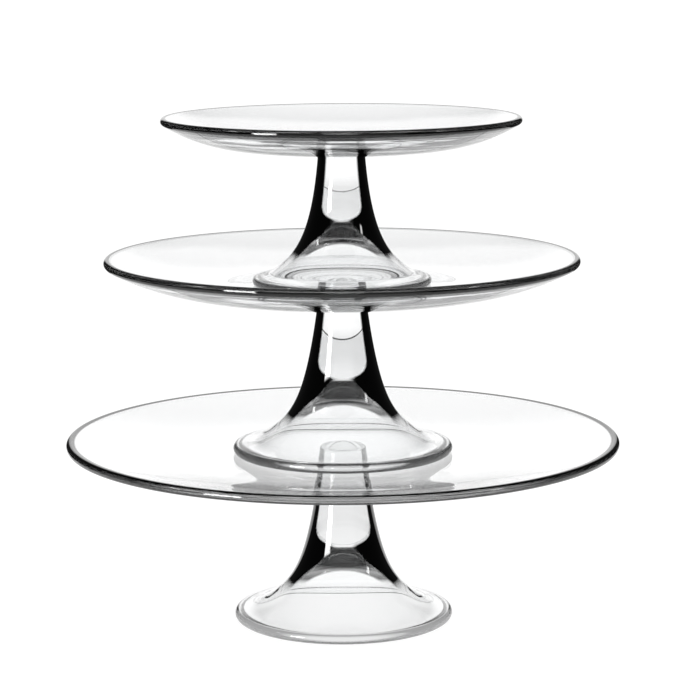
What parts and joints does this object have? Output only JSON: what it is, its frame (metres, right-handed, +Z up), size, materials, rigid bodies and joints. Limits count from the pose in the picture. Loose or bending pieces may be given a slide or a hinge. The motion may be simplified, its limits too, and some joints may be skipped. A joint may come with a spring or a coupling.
{
  "type": "tiered glass cake stand",
  "caption": "Clear glass tiered cake stand: round dished plates on hollow-footed trumpet pedestals that stack on one axis and lift apart.",
  "frame": {"origin": "centre of the bottom foot's rest face, on the surface that the stand stands on", "axes": "+Z up along the common axis of the plates and pedestals"},
  "size_m": [0.3302, 0.3302, 0.3025],
  "materials": {
    "clear_glass": "clear fire-polished pressed glass",
    "clear_adhesive": "clear cured adhesive film"
  },
  "bodies": {
    "bottom_stand": {"bottom_pedestal": "clear_glass", "bottom_bond": "clear_adhesive", "bottom_plate": "clear_glass"},
    "middle_stand": {"middle_pedestal": "clear_glass", "middle_bond": "clear_adhesive", "middle_plate": "clear_glass"},
    "top_stand": {"top_pedestal": "clear_glass", "top_bond": "clear_adhesive", "top_plate": "clear_glass"}
  },
  "joints": [
    {"name": "middle_lift", "type": "slide", "parent": "bottom_stand", "child": "middle_stand", "axis": [0, 0, 1], "range_m": [0, 0.12]},
    {"name": "top_lift", "type": "slide", "parent": "middle_stand", "child": "top_stand", "axis": [0, 0, 1], "range_m": [0, 0.12]}
  ]
}
